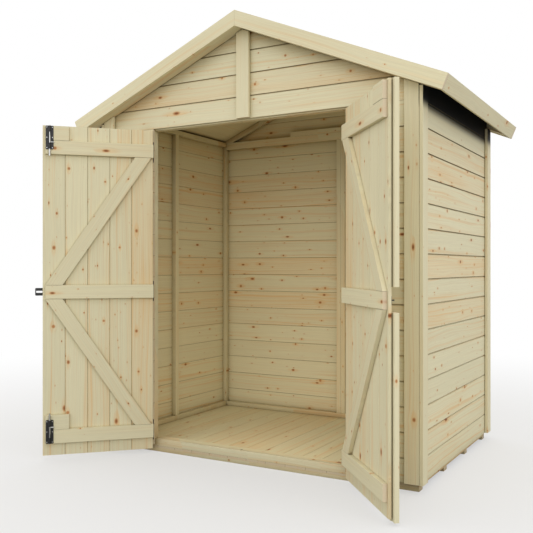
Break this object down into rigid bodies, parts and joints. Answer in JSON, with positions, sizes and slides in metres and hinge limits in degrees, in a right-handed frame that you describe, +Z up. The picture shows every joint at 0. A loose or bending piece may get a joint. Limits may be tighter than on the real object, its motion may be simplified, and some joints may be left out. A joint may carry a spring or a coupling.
{
  "type": "wooden garden shed",
  "caption": "Small apex garden shed in pale shiplap timber, with open ledged and braced double doors, felted roof, boarded floor, tower bolts and a hasp.",
  "frame": {"origin": "on the ground, under the middle of the front floor bearer", "axes": "+X to the right for someone facing the doors, +Y to the back of the shed, +Z up"},
  "size_m": [2.088, 1.7401, 2.2249],
  "materials": {
    "planed_spruce": "planed, untreated spruce, matt",
    "trim_spruce": "planed spruce trim, matt",
    "framing_spruce": "planed framing timber, matt",
    "roof_sheet": "plain roof sheet, matt",
    "mineral_felt": "mineral surfaced roofing felt, matt",
    "black_steel": "black powder-coated steel",
    "zinc_steel": "zinc-plated steel"
  },
  "bodies": {
    "shed": {"floor_bearers": "framing_spruce", "floor_boards": "planed_spruce", "door_sill": "framing_spruce", "left_wall_cladding": "planed_spruce", "left_wall_frame": "framing_spruce", "right_wall_cladding": "planed_spruce", "right_wall_frame": "framing_spruce", "back_wall_cladding": "planed_spruce", "back_wall_frame": "framing_spruce", "front_left_cladding": "planed_spruce", "front_right_cladding": "planed_spruce", "front_gable_cladding": "planed_spruce", "front_wall_frame": "framing_spruce", "door_head_rail": "framing_spruce", "front_gable_rafters": "framing_spruce", "back_gable_rafters": "framing_spruce", "left_roof_sheet": "roof_sheet", "right_roof_sheet": "roof_sheet", "roof_felt": "mineral_felt", "front_verge_rafters": "framing_spruce", "back_verge_rafters": "framing_spruce", "front_bargeboards": "trim_spruce", "back_bargeboards": "trim_spruce", "eave_fascias": "trim_spruce", "front_corner_trims": "trim_spruce", "back_corner_trims": "trim_spruce", "gable_cover_strip": "trim_spruce", "hinge_leaves": "black_steel"},
    "left_door": {"left_door_boards": "planed_spruce", "left_door_ledges": "trim_spruce", "left_door_braces": "trim_spruce", "left_door_bolt_packers": "trim_spruce", "left_door_hinge_straps": "black_steel", "left_door_bolt_plates": "black_steel", "hasp_plate": "black_steel"},
    "right_door": {"right_door_boards": "planed_spruce", "right_door_ledges": "trim_spruce", "right_door_braces": "trim_spruce", "right_door_bolt_packers": "trim_spruce", "right_door_cover_strips": "trim_spruce", "right_door_hinge_straps": "black_steel", "hasp_staple": "black_steel"},
    "top_bolt": {"top_bolt_rod": "zinc_steel"},
    "bottom_bolt": {"bottom_bolt_rod": "zinc_steel"},
    "hasp": {"hasp_strap": "black_steel"}
  },
  "joints": [
    {"name": "left_door_hinge", "type": "hinge", "parent": "shed", "child": "left_door", "pos_m": [-0.5635, -0.047, 0.85], "axis": [0, 0, -1], "range_deg": [-134.2, 35]},
    {"name": "right_door_hinge", "type": "hinge", "parent": "shed", "child": "right_door", "pos_m": [0.5635, -0.047, 0.85], "axis": [0, 0, 1], "range_deg": [-130.6, 38.6]},
    {"name": "top_bolt_slide", "type": "slide", "parent": "left_door", "child": "top_bolt", "axis": [0, 0, -1], "range_m": [-0.022, 0]},
    {"name": "bottom_bolt_slide", "type": "slide", "parent": "left_door", "child": "bottom_bolt", "axis": [0, 0, 1], "range_m": [-0.03, 0]},
    {"name": "hasp_hinge", "type": "hinge", "parent": "left_door", "child": "hasp", "pos_m": [-0.93999, -0.43272, 0.855], "axis": [0, 0, -1], "range_deg": [0, 100]}
  ]
}
